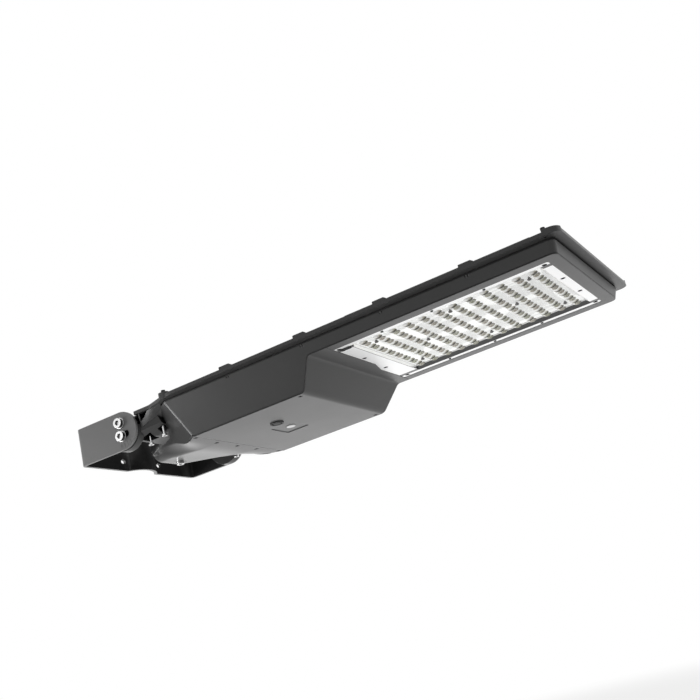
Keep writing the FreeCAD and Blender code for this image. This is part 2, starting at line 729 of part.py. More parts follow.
def underside_plate(thick):
    """The whole stepped bottom: a thin lap under the walls and a thicker plate between them."""
    lap = outer_body().common(under(LAP))
    plate = hull(WALL + 0.4, BAY_Z, WALL_TOP_Z, FLOOR_END_X).common(under(thick)).cut(under(0))
    return lap, plate


def driver_cover():
    lap, plate = underside_plate(COVER_PLATE)
    front = box(NECK_FRONT_X + SEAM, FAR, -FAR, FAR, -FAR, FAR)
    solid = lap.fuse(plate).common(behind_lip(0)).common(front)
    sill = box(SILL_X, SILL_X + SILL_WIDTH, -SILL_HALF, SILL_HALF, LED_Z + COVER_PLATE / 2, frame_top_z)
    solid = solid.fuse(sill)
    cuts = [prism([(PANEL_X[0], PANEL_Y[0], 3), (PANEL_X[1], PANEL_Y[0], 3),
                   (PANEL_X[1], PANEL_Y[1], 3), (PANEL_X[0], PANEL_Y[1], 3)],
                  on_xy, BAY_Z - 1, BAY_Z + PANEL_DEPTH),
            rod(VENT_RADIUS + 0.2, V(VENT_X, VENT_Y, BAY_Z - 1), V(0, 0, 1), COVER_PLATE + 2),
            rod(DISC_RADIUS + 0.2, V(DISC_X, DISC_Y, BAY_Z - 1), V(0, 0, 1), COVER_PLATE + 2)]
    for y in (-COVER_SCREW_Y, COVER_SCREW_Y):
        cuts += flush_hole(COVER_SCREW_X, y)
    return solid.cut(cuts)


def flush_hole(x, y):
    """A hole in the underside with a counterbore for a screw head."""
    hole = rod(SMALL_SCREW / 2, V(x, y, -FAR), V(0, 0, 1), FAR)
    return [hole, rod(SMALL_HEAD / 2 + HEAD_PLAY, V(x, y, -FAR), V(0, 0, 1), FAR + BAY_Z + COUNTERBORE)]


def flush_screw(x, y):
    seat = V(x, y, BAY_Z + COUNTERBORE)
    return socket_bolt(seat, V(0, 0, 1), SMALL_SCREW_LENGTH, SMALL_SCREW, SMALL_HEAD, FLUSH_HEAD_HEIGHT)


def driver_cover_gasket():
    low = BAY_Z + COVER_PLATE
    ring = ledge_ring(low, LEDGE_Z, LEDGE_WIDTH - 1)
    inside = hull(WALL + 1.5, BAY_Z, WALL_TOP_Z, FLOOR_END_X + 0.5)
    ring = ring.common(inside)
    for y in (-COVER_SCREW_Y, COVER_SCREW_Y):
        ring = ring.cut(rod(SMALL_SCREW / 2, V(COVER_SCREW_X, y, -FAR), V(0, 0, 1), FAR))
    return ring


def led_frame():
    lap, plate = underside_plate(FRAME_THICK)
    solid = lap.fuse(plate).cut(behind_lip(LIP_GAP))
    return solid.cut(tray_outline(TRAY_MARGIN, LED_Z - 1, frame_top_z + 1))


def tray_outline(inset, low, high):
    """The tray's plan; at an inset of the tray margin it is the window in the frame."""
    half = window_half + TRAY_MARGIN - inset
    rear = SILL_X + min(inset, SILL_WIDTH)
    tip = window_tip_x + TRAY_MARGIN - inset
    corners = [(rear, -half, WINDOW_CORNER), (tip, -half, WINDOW_CORNER), (tip, half, WINDOW_CORNER),
               (rear, half, WINDOW_CORNER)]
    return prism(corners, on_xy, low, high)


def lens_gasket():
    return tray_outline(0, frame_top_z, tray_z).cut(tray_outline(SILL_WIDTH, frame_top_z - 1, tray_z + 1))


def lens_field(grow, low, high):
    return box(LENS_CENTRE_X - lens_half_x - grow, LENS_CENTRE_X + lens_half_x + grow,
               -lens_half_y - grow, lens_half_y + grow, low, high)


def pan_recess():
    """The recess over the lenses: its side and tip walls lean outwards, its rear wall is upright."""
    rear = LENS_CENTRE_X - lens_half_x - POCKET_MARGIN
    side = window_half - PAN_SIDE_MARGIN
    tip = window_tip_x - PAN_TIP_MARGIN
    foot_side = lens_half_y + POCKET_MARGIN
    foot_tip = LENS_CENTRE_X + lens_half_x + POCKET_MARGIN
    below = 1 / (lens_z - pan_z)
    rings = []
    for z, share in ((pan_z - 1, 1 + below), (lens_z, 0)):
        half = foot_side + (side - foot_side) * share
        end = foot_tip + (tip - foot_tip) * share
        corners = [(rear, -half, 0), (end, -half, 0), (end, half, 0), (rear, half, 0)]
        rings.append(outline(corners, on_xy, z))
    return Part.makeLoft(rings, True, True)


def tray_screw_places():
    """Four along the tip of the pan and four along its rear, where the cover's edge steps back."""
    places = []
    outer_y = window_half - TRAY_SCREW_INSET
    for y in (-outer_y, -TRAY_SCREW_INNER_Y, TRAY_SCREW_INNER_Y, outer_y):
        places.append(V(window_tip_x - TRAY_SCREW_INSET, y, 0))
        places.append(V(TRAY_SCREW_REAR_X[0 if y < 0 else 1], y, 0))
    return places


def led_tray():
    """A flat plate on the seal, with a pan below it that fills the window and frames the lenses."""
    pan = tray_outline(TRAY_MARGIN + PAN_GAP, pan_z, tray_z).cut(behind_lip(LIP_GAP)).cut(pan_recess())
    solid = tray_outline(0, tray_z, tray_top_z).fuse(pan)
    cuts = [lens_field(POCKET_MARGIN, lens_z - 1, board_top_z)]
    for place in tray_screw_places():
        cuts.append(rod(SMALL_SCREW / 2, V(place.x, place.y, -FAR), V(0, 0, 1), FAR + tray_top_z + 1))
        cuts.append(rod(SMALL_HEAD / 2 + HEAD_PLAY, V(place.x, place.y, -FAR), V(0, 0, 1),
                        FAR + pan_z + COUNTERBORE))
    for place in lens_screw_places():
        cuts.append(rod(LENS_SCREW / 2, V(place.x, place.y, -FAR), V(0, 0, 1), FAR + tray_top_z + 1))
    return solid.cut(cuts)


def heat_spreader():
    plate = tray_outline(SPREADER_MARGIN, tray_top_z, tray_top_z + SPREADER_PLATE)
    ribs = []
    pitch = 2 * lens_half_y / (SPREADER_RIBS - 1)
    for i in range(SPREADER_RIBS):
        y = -lens_half_y + i * pitch
        ribs.append(box(LENS_CENTRE_X - lens_half_x, LENS_CENTRE_X + lens_half_x, y - SPREADER_RIB / 2,
                        y + SPREADER_RIB / 2, tray_top_z + SPREADER_PLATE, cover_under_z))
    solid = plate.fuse(ribs)
    for place in tray_screw_places():
        solid = solid.cut(rod(SMALL_SCREW / 2, V(place.x, place.y, tray_top_z - 1), V(0, 0, 1),
                              SPREADER_PLATE + 2))
    return solid


def lens_places():
    """Centres of the lenses, row by row from the rear."""
    places = []
    for row in range(LENS_ROWS):
        for column in range(LENS_COLUMNS):
            places.append(V(LENS_CENTRE_X + (row - (LENS_ROWS - 1) / 2) * LENS_PITCH_X,
                            (column - (LENS_COLUMNS - 1) / 2) * LENS_PITCH_Y, 0))
    return places


def lens_screw_places():
    places = []
    for row, column in LENS_SCREWS:
        places.append(V(LENS_CENTRE_X + (row - (LENS_ROWS + 1) / 2) * LENS_PITCH_X,
                        (column - (LENS_COLUMNS + 1) / 2) * LENS_PITCH_Y, 0))
    return places


def lens_panel():
    plate = lens_field(0, lens_z, board_z)
    ball = (LENS_LOBE ** 2 + LENS_HEIGHT ** 2) / (2 * LENS_HEIGHT)
    cap_box = box(-LENS_LOBE - 1, LENS_LOBE + 1, -2 * LENS_LOBE, 2 * LENS_LOBE, lens_z - FAR, lens_z)
    lobes = []
    for side in (-1, 1):
        centre = V(0, side * LENS_LOBE_OFFSET, lens_z - LENS_HEIGHT + ball)
        lobes.append(Part.makeSphere(ball, centre))
    dome = lobes[0].fuse(lobes[1]).common(cap_box)
    domes = []
    cuts = []
    for place in lens_places():
        copy = dome.copy()
        copy.translate(place)
        domes.append(copy)
        cuts.append(rod(CHIP_CAVITY, V(place.x, place.y, board_z), V(0, 0, -1), CHIP_CAVITY_DEPTH))
    for place in lens_screw_places():
        cuts.append(rod(LENS_SCREW / 2, V(place.x, place.y, lens_z - 1), V(0, 0, 1), LENS_BASE + 2))
    return plate.fuse(domes).cut(cuts)


def led_board():
    solid = lens_field(0, board_z, board_top_z)
    cuts = []
    for place in lens_screw_places():
        cuts.append(rod(LENS_SCREW / 2, V(place.x, place.y, board_z - 1), V(0, 0, 1), BOARD_THICK + 2))
    return solid.cut(cuts)


def led_chips():
    chips = []
    for place in lens_places():
        chips.append(box(place.x - CHIP / 2, place.x + CHIP / 2, place.y - CHIP / 2, place.y + CHIP / 2,
                         board_z - CHIP_HEIGHT, board_z))
    return chips


def small_screws(places, seat_z, length, diameter, head, head_height):
    screws = []
    for place in places:
        screws.append(socket_bolt(V(place.x, place.y, seat_z), V(0, 0, 1), length, diameter, head,
                                  head_height))
    return screws


def cover_outline(inset):
    """Plan of the top cover: full width over the head, drawn in to a nape over the neck."""
    side = FLANGE_HALF_WIDTH - inset
    nape = NAPE_HALF_WIDTH - inset
    tip = FLANGE_TIP_X - inset
    rear = NAPE_X + inset
    half = [(tip, side, FLANGE_CORNER), (SHOULDER_X, side, SHOULDER_ROUND),
            (SHOULDER_END_X, nape, NAPE_ROUND), (rear, nape, NAPE_CORNER)]
    other = [(x, -y, radius) for x, y, radius in reversed(half)]
    return half + other


def top_cover():
    plate = prism(cover_outline(0), on_xy, FLANGE_LOW_Z, FLANGE_TOP_Z)
    pocket = prism(cover_outline(POCKET_INSET), on_xy, FLANGE_LOW_Z - 1, cover_under_z)
    pocket = pocket.common(box(REAR_WALL_X + RIM_WIDTH, FAR, -FAR, FAR, -FAR, FAR))
    solid = plate.cut(pocket)
    fin_stop_x = FLANGE_TIP_X - FIN_STOP_INSET
    raised = []
    for i in range(FIN_COUNT):
        y = (i - (FIN_COUNT - 1) / 2) * FIN_PITCH
        profile = [(FIN_START_X, FLANGE_TOP_Z - 0.5, 0),
                   (FIN_START_X + FIN_END_SLOPE, FLANGE_TOP_Z + FIN_HEIGHT, 6),
                   (fin_stop_x - FIN_END_SLOPE, FLANGE_TOP_Z + FIN_HEIGHT, 6),
                   (fin_stop_x, FLANGE_TOP_Z - 0.5, 0)]
        raised.append(prism(profile, on_xz, y - FIN_THICK / 2, y + FIN_THICK / 2))
    deck_half = FLANGE_HALF_WIDTH - DECK_INSET
    raised.append(prism([(DECK_START_X, -deck_half, 12), (DECK_STOP_X, -deck_half, 12),
                         (DECK_STOP_X, deck_half, 12), (DECK_START_X, deck_half, 12)],
                        on_xy, FLANGE_TOP_Z - 0.5, FLANGE_TOP_Z + DECK_RISE))
    for start in tab_starts():
        end = start + TAB_LENGTH
        profile = [(start, FLANGE_LOW_Z, 0), (end, FLANGE_LOW_Z, 0), (end, FLANGE_TOP_Z + 1, 0),
                   (end - TAB_HEIGHT, FLANGE_TOP_Z + TAB_HEIGHT, 1), (start, FLANGE_TOP_Z + TAB_HEIGHT, 1)]
        raised += both_sides(prism(profile, on_xz, -FLANGE_HALF_WIDTH, TAB_DEPTH - FLANGE_HALF_WIDTH))
    raised += both_sides(tip_tab())
    rear_x, tip_x = corner_screw_x
    lug = obround(rear_x - LUG_LENGTH / 2, rear_x + LUG_LENGTH / 2, -corner_screw_y, LUG_RADIUS,
                  FLANGE_LOW_Z, lug_top_z)
    stub = rod(STUB_RADIUS, V(tip_x, -corner_screw_y, FLANGE_LOW_Z), V(0, 0, 1), lug_top_z - FLANGE_LOW_Z)
    raised += both_sides(lug) + both_sides(stub)
    solid = solid.fuse(raised).removeSplitter()
    cuts = []
    for place in lid_screw_places():
        cuts.append(rod(LID_SCREW / 2, place, V(0, 0, -1), 20))
    for side in (-1, 1):
        for x in corner_screw_x:
            cuts.append(rod(SMALL_SCREW / 2, V(x, side * corner_screw_y, FAR), V(0, 0, -1), 2 * FAR))
    return solid.cut(cuts)


def tip_tab():
    """The near tab at the tip: it follows the flange's rounded corner and falls towards its end."""
    start = FLANGE_TIP_X - TIP_TAB_LENGTH
    profile = [(start, FLANGE_LOW_Z, 0), (FLANGE_TIP_X, FLANGE_LOW_Z, 0),
               (FLANGE_TIP_X, FLANGE_TOP_Z + TIP_TAB_END_HEIGHT, 0), (start, FLANGE_TOP_Z + TAB_HEIGHT, 0)]
    tab = prism(profile, on_xz, -FLANGE_HALF_WIDTH, TIP_TAB_DEPTH - FLANGE_HALF_WIDTH)
    return tab.common(prism(cover_outline(0), on_xy, FLANGE_LOW_Z, FLANGE_TOP_Z + TAB_HEIGHT))


def corner_screws():
    screws = []
    for x in corner_screw_x:
        seat = V(x, -corner_screw_y, lug_top_z)
        screws += both_sides(socket_bolt(seat, V(0, 0, -1), CORNER_SCREW_LENGTH, SMALL_SCREW, 2 * STUB_RADIUS,
                                         CORNER_HEAD_HEIGHT))
    return screws


def lid_screw_places():
    places = []
    for x in LID_SCREW_X:
        for side in (-1, 1):
            places.append(V(x, side * LID_SCREW_Y, FLANGE_TOP_Z))
    return places


def cover_gasket():
    def ring(inset, low, high):
        body = hull(inset, BAY_Z, WALL_TOP_Z, REAR_WALL_X + inset).cut(facet_cut(inset))
        flat = body.slice(V(0, 0, 1), WALL_TOP_Z - 0.01)
        face = Part.Face(flat)
        face.translate(V(0, 0, low - face.BoundBox.ZMin))
        return face.extrude(V(0, 0, high - low))
    outer = ring(GASKET_INSET, WALL_TOP_Z, FLANGE_LOW_Z)
    inner = ring(GASKET_INSET + GASKET_WIDTH, WALL_TOP_Z - 1, FLANGE_LOW_Z + 1)
    return outer.cut(inner)


def pivot_hardware(place, name):
    seat = bracket_half + M10_WASHER_THICK
    bolts = []
    washers = []
    nuts = []
    nut_y = lug_face - LUG_DISC_THICK
    for side in (-1, 1):
        inward = V(0, -side, 0)
        bolts.append(socket_bolt(V(place.x, side * seat, place.z), inward, seat - nut_y + M10_NUT_HEIGHT + 3,
                                 M10, M10_HEAD, M10_HEAD_HEIGHT))
        washer = rod(M10_WASHER / 2, V(place.x, side * seat, place.z), inward, M10_WASHER_THICK)
        washers.append(washer.cut(rod(M10 / 2 + RUNNING_FIT, V(place.x, side * FAR, place.z), inward, FAR)))
        nut = hexagon(M10_NUT, M10_NUT_HEIGHT)
        nut.Placement = FreeCAD.Placement(V(place.x, side * nut_y, place.z),
                                          FreeCAD.Rotation(V(0, 0, 1), inward))
        nuts.append(nut.cut(rod(M10 / 2, V(place.x, side * FAR, place.z), inward, FAR)))
    save(f"{name}_bolts", bolts)
    save(f"{name}_washers", washers)
    save(f"{name}_nuts", nuts)


def disc_plug(x, y, radius, proud):
    """A flanged round plug that fills a hole in the driver cover."""
    body = rod(radius, V(x, y, BAY_Z - proud), V(0, 0, 1), COVER_PLATE + proud)
    return body.fuse(rod(radius + 2, V(x, y, BAY_Z + COVER_PLATE), V(0, 0, 1), 1.5)).removeSplitter()


def vent_plug():
    """The breather: a flanged plug with a round groove about its cap."""
    body = disc_plug(VENT_X, VENT_Y, VENT_RADIUS, VENT_PROUD)
    low = V(VENT_X, VENT_Y, BAY_Z - VENT_PROUD - 1)
    groove = rod(VENT_CAP + VENT_GROOVE, low, V(0, 0, 1), VENT_GROOVE + 1)
    return body.cut(groove.cut(rod(VENT_CAP, low, V(0, 0, 1), VENT_GROOVE + 1)))


def tray_studs():
    """Small round studs on the side margins of the pan."""
    studs = []
    for x in STUD_X:
        stud = rod(STUD_RADIUS, V(x, STUD_SIDE - window_half, pan_z - STUD_PROUD), V(0, 0, 1), STUD_PROUD)
        studs += both_sides(stud)
    return studs


def obround(x0, x1, y, radius, low, high):
    ends = [rod(radius, V(x, y, low), V(0, 0, 1), high - low) for x in (x0 + radius, x1 - radius)]
    return box(x0 + radius, x1 - radius, y - radius, y + radius, low, high).fuse(ends).removeSplitter()


def lead_grommet():
    """The long rubber seal where the board's leads pass the pan."""
    y = GROMMET_SIDE - window_half
    low = pan_z - GROMMET_PROUD
    body = obround(GROMMET_X[0], GROMMET_X[1], y, GROMMET_RADIUS, low, pan_z)
    wall = GROMMET_RADIUS / 2
    return body.cut(obround(GROMMET_X[0] + wall, GROMMET_X[1] - wall, y, GROMMET_RADIUS - wall,
                            low - 1, pan_z - GROMMET_PROUD / 2))


def gear_tray():
    """The plate in the driver bay that carries the electrical parts; it rests on the ledge."""
    low = LEDGE_Z + LEDGE
    half = WALL_HALF_WIDTH + WALL_LEAN * (low - LED_Z) - WALL - 2
    return prism([(GEAR_X[0], -half, 6), (GEAR_X[1], -half, 6), (GEAR_X[1], half, 6), (GEAR_X[0], half, 6)],
                 on_xy, low, low + GEAR_PLATE)


def block(x, y, length, width, height, rounding):
    """A closed box of electrical gear that stands on the gear tray."""
    low = LEDGE_Z + LEDGE + GEAR_PLATE
    body = box(x, x + length, y, y + width, low, low + height)
    upright = [edge for edge in body.Edges if abs(edge.tangentAt(edge.FirstParameter).z) > 0.9]
    return body.makeFillet(rounding, upright)


def led_driver():
    low = LEDGE_Z + LEDGE + GEAR_PLATE
    body = block(DRIVER_X, DRIVER_Y, DRIVER_LENGTH, DRIVER_WIDTH, DRIVER_HEIGHT, 3)
    middle = DRIVER_Y + DRIVER_WIDTH / 2
    foot = box(DRIVER_X - DRIVER_FOOT, DRIVER_X + DRIVER_LENGTH + DRIVER_FOOT, middle - DRIVER_FOOT,
               middle + DRIVER_FOOT, low, low + GEAR_PLATE)
    solid = body.fuse(foot).removeSplitter()
    for x in driver_screw_x():
        solid = solid.cut(rod(SMALL_SCREW / 2, V(x, middle, low - 1), V(0, 0, 1), GEAR_PLATE + 2))
    return solid


def driver_screw_x():
    return (DRIVER_X - DRIVER_FOOT / 2, DRIVER_X + DRIVER_LENGTH + DRIVER_FOOT / 2)


def driver_screws():
    low = LEDGE_Z + LEDGE + GEAR_PLATE
    middle = DRIVER_Y + DRIVER_WIDTH / 2
    return [socket_bolt(V(x, middle, low + GEAR_PLATE), V(0, 0, -1), GEAR_PLATE, SMALL_SCREW, SMALL_HEAD,
                        SMALL_HEAD_HEIGHT) for x in driver_screw_x()]


def cable_gland():
    """The threaded gland in the housing's rear wall, with its flange and its lock nut."""
    centre = V(REAR_WALL_X - GLAND_REACH, 0, CABLE_Z)
    along = V(1, 0, 0)
    body = rod(CABLE_HOLE / 2 - 0.1, centre, along, 2 * GLAND_REACH + WALL)
    flange = rod(CABLE_HOLE / 2 + 4, V(REAR_WALL_X - 4, 0, CABLE_Z), along, 4)
    nut = rod(CABLE_HOLE / 2 + 3, V(REAR_WALL_X + WALL, 0, CABLE_Z), along, 4)
    bore = rod(GLAND_BORE / 2, centre - along, along, 4 * GLAND_REACH)
    return body.fuse([flange, nut]).removeSplitter().cut(bore)


def save_all():
    save("bracket", bracket())
    save("neck", neck())
    save("housing", housing())
    save("led_frame", led_frame())
    save("top_cover", top_cover())
    save("cover_gasket", cover_gasket())
    save("driver_cover", driver_cover())
    save("driver_cover_gasket", driver_cover_gasket())
    save("led_tray", led_tray())
    save("lens_gasket", lens_gasket())
    save("lens_panel", lens_panel())
    save("led_board", led_board())
    save("led_chips", led_chips())
    save("heat_spreader", heat_spreader())
    save("top_cover_screws", [socket_bolt(place, V(0, 0, -1), LID_SCREW_LENGTH, LID_SCREW, LID_HEAD,
                                          LID_HEAD_HEIGHT) for place in lid_screw_places()])
    save("corner_screws", corner_screws())
    save("driver_cover_screws", [flush_screw(COVER_SCREW_X, y) for y in (-COVER_SCREW_Y, COVER_SCREW_Y)])
    save("neck_face_screws", [flush_screw(x, y) for x, y in TONGUE_SCREWS])
    save("neck_side_screws", neck_side_screws())
    save("nose_screw", socket_bolt(V(NOSE_SCREW_X, NOSE_SCREW_Y, NOSE_SCREW_Z), V(0, 0, 1),
                                   NOSE_SCREW_LENGTH, NOSE_SCREW, NOSE_SCREW_HEAD, NOSE_SCREW_HEAD_HEIGHT))
    save("vent_plug", vent_plug())
    save("status_window", disc_plug(DISC_X, DISC_Y, DISC_RADIUS, 0.0))
    tray_seat = pan_z + COUNTERBORE
    save("tray_screws", small_screws(tray_screw_places(), tray_seat, tray_top_z + SPREADER_PLATE - tray_seat,
                                     SMALL_SCREW, SMALL_HEAD, FLUSH_HEAD_HEIGHT))
    save("lens_screws", small_screws(lens_screw_places(), lens_z, tray_top_z - lens_z, LENS_SCREW,
                                     LENS_SCREW_HEAD, LENS_SCREW_HEAD_HEIGHT))
    save("tray_studs", tray_studs())
    save("lead_grommet", lead_grommet())
    save("gear_tray", gear_tray())
    save("led_driver", led_driver())
    save("driver_screws", driver_screws())
    save("surge_protector", block(SURGE_X, SURGE_Y, *SURGE_BLOCK))
    save("terminal_block", block(TERMINAL_X, SURGE_Y, *TERMINAL_BLOCK))
    save("cable_gland", cable_gland())
    pivot_hardware(pivot, "pivot")
    pivot_hardware(lock, "lock")


save_all()
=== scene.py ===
# %% [markdown]
# # An LED street light head, seen from below
# The measured solids of the head come in as a fixed frame. This script adds what they lack: the
# finishes, and a quiet white studio around them. It adds no shape to the head. Everything is in
# metres. X runs from the pole to the tip of the head, Y across it, and Z up.

# %% The frame
import json
import math

import bpy
from mathutils import Matrix, Vector


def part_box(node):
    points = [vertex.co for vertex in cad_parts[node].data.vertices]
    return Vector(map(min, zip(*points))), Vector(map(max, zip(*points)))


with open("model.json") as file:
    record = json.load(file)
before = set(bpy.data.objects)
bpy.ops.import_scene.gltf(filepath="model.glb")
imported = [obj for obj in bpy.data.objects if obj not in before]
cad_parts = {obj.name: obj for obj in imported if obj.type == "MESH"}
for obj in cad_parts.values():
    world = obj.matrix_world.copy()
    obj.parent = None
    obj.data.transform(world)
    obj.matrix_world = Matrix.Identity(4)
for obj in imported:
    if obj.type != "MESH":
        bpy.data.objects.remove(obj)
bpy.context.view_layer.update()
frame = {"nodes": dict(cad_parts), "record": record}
MM = 0.001

# %% [markdown]
# ## Shader sums written as Python
# A finish is a net of small nodes. Drawn by hand it soon becomes hard to read, so one small class
# wraps a node's output and lets Python's own signs build the Math nodes: `1 - mask * 0.5` adds two
# of them. Colours and vectors go through Mix and Vector Math nodes, because a Math node would turn
# them grey.

# %% A socket that takes part in sums
class Wire:
    """One output socket of a shader net, which Python's signs turn into Math nodes."""

    def __init__(self, net, socket):
        self.net = net
        self.socket = socket

    def __add__(self, other):
        return self.net.maths("ADD", self, other)

    def __radd__(self, other):
        return self.net.maths("ADD", other, self)

    def __sub__(self, other):
        return self.net.maths("SUBTRACT", self, other)

    def __rsub__(self, other):
        return self.net.maths("SUBTRACT", other, self)

    def __mul__(self, other):
        return self.net.maths("MULTIPLY", self, other)

    def __rmul__(self, other):
        return self.net.maths("MULTIPLY", other, self)

    def __truediv__(self, other):
        return self.net.maths("DIVIDE", self, other)

    def __rtruediv__(self, other):
        return self.net.maths("DIVIDE", other, self)

    def __pow__(self, other):
        return self.net.maths("POWER", self, other)

    def __rpow__(self, other):
        return self.net.maths("POWER", other, self)


# %% [markdown]
# Every other node comes from one method. It takes the node's type, its settings, and the values or
# wires of its sockets. Short methods on top of it name the steps that the finishes use again and
# again, such as a noise, or a span that turns a range of values into a mask.

# %% A net of nodes for one material or world
class Net:
    """Adds nodes to one node tree. A value may be a number, a colour, a vector or a Wire."""

    def __init__(self, tree):
        self.tree = tree

    def node(self, kind, settings=None, sockets=None, output=0):
        made = self.tree.nodes.new(kind)
        for name, value in (settings or {}).items():
            setattr(made, name, value)
        for name, value in (sockets or {}).items():
            if isinstance(value, Wire):
                self.tree.links.new(value.socket, made.inputs[name])
            else:
                made.inputs[name].default_value = value
        return Wire(self, made.outputs[output])

    def maths(self, operation, *values):
        return self.node("ShaderNodeMath", {"operation": operation}, dict(enumerate(values)))

    def vectors(self, operation, *values, output=0):
        return self.node("ShaderNodeVectorMath", {"operation": operation}, dict(enumerate(values)), output)

    def place(self):
        return self.node("ShaderNodeTexCoord", output="Object")

    def part_of(self, vector, axis):
        return self.node("ShaderNodeSeparateXYZ", None, {0: vector}, axis)

    def noise(self, scale, detail=2.0, stretch=(1, 1, 1)):
        where = self.vectors("MULTIPLY", self.place(), stretch)
        return self.node("ShaderNodeTexNoise", None, {"Vector": where, "Scale": scale, "Detail": detail})

    def span(self, value, low, high, start=0.0, end=1.0):
        """Maps low..high to start..end smoothly, and holds it there."""
        return self.node("ShaderNodeMapRange", {"interpolation_type": "SMOOTHSTEP"},
                         {"Value": value, "From Min": low, "From Max": high, "To Min": start, "To Max": end})

    def band(self, value, low, high, soft):
        """A mask that is 1 between low and high, with soft ends inside them."""
        return self.span(value, low, low + soft) * self.span(value, high, high - soft)

    def blend(self, mask, first, second):
        """The colour first where the mask is 0, and second where it is 1."""
        return self.node("ShaderNodeMix", {"data_type": "RGBA"}, {0: mask, 6: first, 7: second}, 2)


# %% [markdown]
# A colour is easiest to judge as the eye reads it, from 0 for black to 255 for white. A shader
# takes it as an amount of light, so one function turns the first into the second.

# %% Colours
def shade(value, scale=1.0):
    """A grey or colour from 0 to 255 as the linear colour that a shader takes."""
    parts = (value, value, value) if isinstance(value, (int, float)) else value
    linear = [((p / 255 + 0.055) / 1.055) ** 2.4 if p > 10 else p / 255 / 12.92 for p in parts]
    return (*[min(v * scale, 1.0) for v in linear], 1)


# %% [markdown]
# ## One finish
# Each finish is one Principled shader with nodes before it. What is the same all over a surface is set on
# the shader's own socket. Some things recur in the finishes: no real edge is sharp, so the normal is rolled
# over it, and a deep hollow is painted dark as shade, because its walls close off the sky.

# %% The finish class
class Finish(Net):
    """A material with one Principled shader. Its constants are set on the shader's own sockets."""

    def __init__(self, name, **constants):
        self.material = bpy.data.materials.new(name)
        self.material.use_nodes = True
        super().__init__(self.material.node_tree)
        self.shader = self.tree.nodes["Principled BSDF"]
        for socket, value in constants.items():
            self.shader.inputs[socket.replace("_", " ")].default_value = value

    def feed(self, socket, value):
        self.tree.links.new(value.socket, self.shader.inputs[socket])

    def flat_normal(self):
        return self.node("ShaderNodeNewGeometry", output="True Normal")

    def rounded(self, radius):
        """The surface normal with every sharp edge rolled over, as a real edge is."""
        return self.node("ShaderNodeBevel", {"samples": 4}, {"Radius": radius})

    def rim(self, soft_normal):
        """A mask that is 1 where the rolled edge turns away from the face."""
        face = self.node("ShaderNodeNewGeometry", output="Normal")
        return self.span(self.vectors("DOT_PRODUCT", soft_normal, face, output=1), 0.99, 0.86)

    def facing(self, centre):
        """How squarely a face looks towards a point, in metres. It is negative where it looks away."""
        towards = self.vectors("SUBTRACT", centre, self.place())
        return self.vectors("DOT_PRODUCT", towards, self.flat_normal(), output=1)

    def crevice(self, reach, start, end):
        """A mask that is 1 deep in a hollow, where neighbours within a reach close off the sky."""
        open_sky = self.node("ShaderNodeAmbientOcclusion", {"samples": 6}, {"Distance": reach}, "AO")
        return self.span(open_sky, start, end)

    def relief(self, height, strength, distance, normal):
        """Feeds the shader's normal with a height map laid over the rolled edges."""
        self.feed("Normal", self.node("ShaderNodeBump", None, {
            "Height": height, "Strength": strength, "Distance": distance, "Normal": normal}))


# %% [markdown]
# ## The camera
# The view was solved from straight edges and round bolt heads in the picture. It stands low beside
# the tip and looks up at the underside, so the lens, the place and the turn are plain numbers.

# %% The camera
LENS_MM = 53.72
FILM_MM = 36.0
CAMERA_PLACE = (1.150888, -1.433122, -0.485968)
CAMERA_RIGHT = (0.84202961, 0.48998514, -0.22561182)
CAMERA_DOWN = (-0.34499014, 0.16762902, -0.92351628)
CAMERA_AHEAD = (-0.41469017, 0.85546191, 0.31018864)

lens = bpy.data.cameras.new("street_view")
lens.lens = LENS_MM
lens.sensor_width = FILM_MM
lens.clip_start = 10 * MM
camera = bpy.data.objects.new("street_view", lens)
bpy.context.scene.collection.objects.link(camera)
turn = Matrix((CAMERA_RIGHT, [-v for v in CAMERA_DOWN], [-v for v in CAMERA_AHEAD])).transposed()
camera.matrix_world = Matrix.Translation(CAMERA_PLACE) @ turn.to_4x4()
bpy.context.scene.camera = camera
print("camera at", CAMERA_PLACE, "with a lens of", LENS_MM, "mm")

# %% [markdown]
# ## The studio
# The real head was shot against white. The sky shows as white to the camera and in reflections,
# which is how a white sweep looks, while the light that it gives off stays at a low, even level.
# A brighter sky would fill every hollow with light and leave the head flat.

# %% The sky
SKY_LIGHT = 0.28


def seen_directly(net):
    """1 for rays that show the surroundings: from the camera, from gloss or through glass."""
    rays = [net.node("ShaderNodeLightPath", output=name)
            for name in ("Is Camera Ray", "Is Glossy Ray", "Is Transmission Ray")]
    return net.span(rays[0] + rays[1] + rays[2], 0.0, 1.0)


bpy.context.scene.view_settings.view_transform = "Standard"
sky = bpy.context.scene.world or bpy.data.worlds.new("studio")
bpy.context.scene.world = sky
sky.use_nodes = True
sky_net = Net(sky.node_tree)
background = sky.node_tree.nodes["Background"]
sky_level = sky_net.span(seen_directly(sky_net), 0.0, 1.0, SKY_LIGHT, 1.0)
sky_colour = sky_net.node("ShaderNodeCombineColor", None, {0: sky_level, 1: sky_level, 2: sky_level})
sky.node_tree.links.new(sky_colour.socket, background.inputs["Color"])
print("the sky shows as white and lights at", SKY_LIGHT)

# %% [markdown]
# A sheet of white paper lies below the head and the camera. It glows white where it is seen, as
# the sky does. Near the head a part of the plain paper stays in the mix, which can take the head's
# shadow, and further out the glow takes over, so that no horizon shows.

# %% The floor
FLOOR_Z = -0.62
FLOOR_HALF = 6.0
FLOOR_PAPER = (0.72, 0.72, 0.71, 1)
FADE_START = 1.2
FADE_END = 2.6
NEAR_GLOW = 0.72


def flat_sheet(name, corners, finish):
    """A sheet of the studio with four corners. It isn't a piece of the head."""
    mesh = bpy.data.meshes.new(name)
    mesh.from_pydata(corners, [], [(0, 1, 2, 3)])
    mesh.materials.append(finish.material)
    sheet = bpy.data.objects.new(name, mesh)
    bpy.context.scene.collection.objects.link(sheet)
    return sheet


